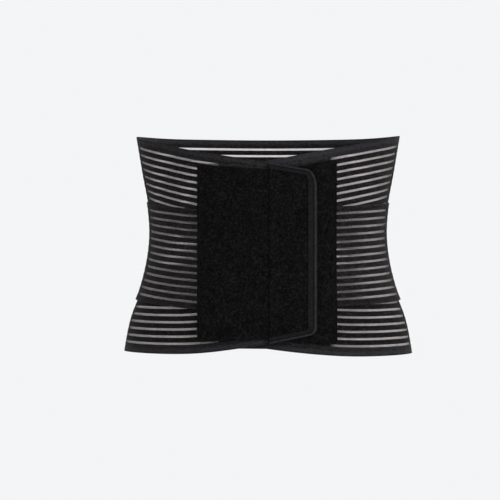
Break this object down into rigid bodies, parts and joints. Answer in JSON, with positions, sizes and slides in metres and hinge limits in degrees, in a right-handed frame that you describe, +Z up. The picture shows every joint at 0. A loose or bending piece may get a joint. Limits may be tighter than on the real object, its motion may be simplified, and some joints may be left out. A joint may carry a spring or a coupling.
{
  "type": "lumbosacral brace",
  "caption": "Waist brace of openwork elastic bands that fan out at the back and close in front with overlapping loop-faced panels and a bound hook tab.",
  "frame": {"origin": "middle of the waist hollow, on the torso's axis and level with the narrowest part of the waist", "axes": "+Z up the wearer's torso, -Y towards the front closure, +X towards the wearer's left side"},
  "size_m": [0.3502, 0.2584, 0.2674],
  "materials": {
    "elastic": "ribbed knit elastic, matt",
    "loop_face": "brushed loop pile, matt",
    "binding": "smooth folded edging tape with a slight sheen",
    "hook_tape": "fine plastic hooks on woven tape"
  },
  "bodies": {
    "root": {"lower_band": "elastic", "upper_band": "elastic", "middle_band": "elastic", "outer_panel": "loop_face", "inner_panel": "loop_face", "closure_tab": "loop_face", "tab_binding": "binding", "hook_strip": "hook_tape"}
  },
  "joints": []
}
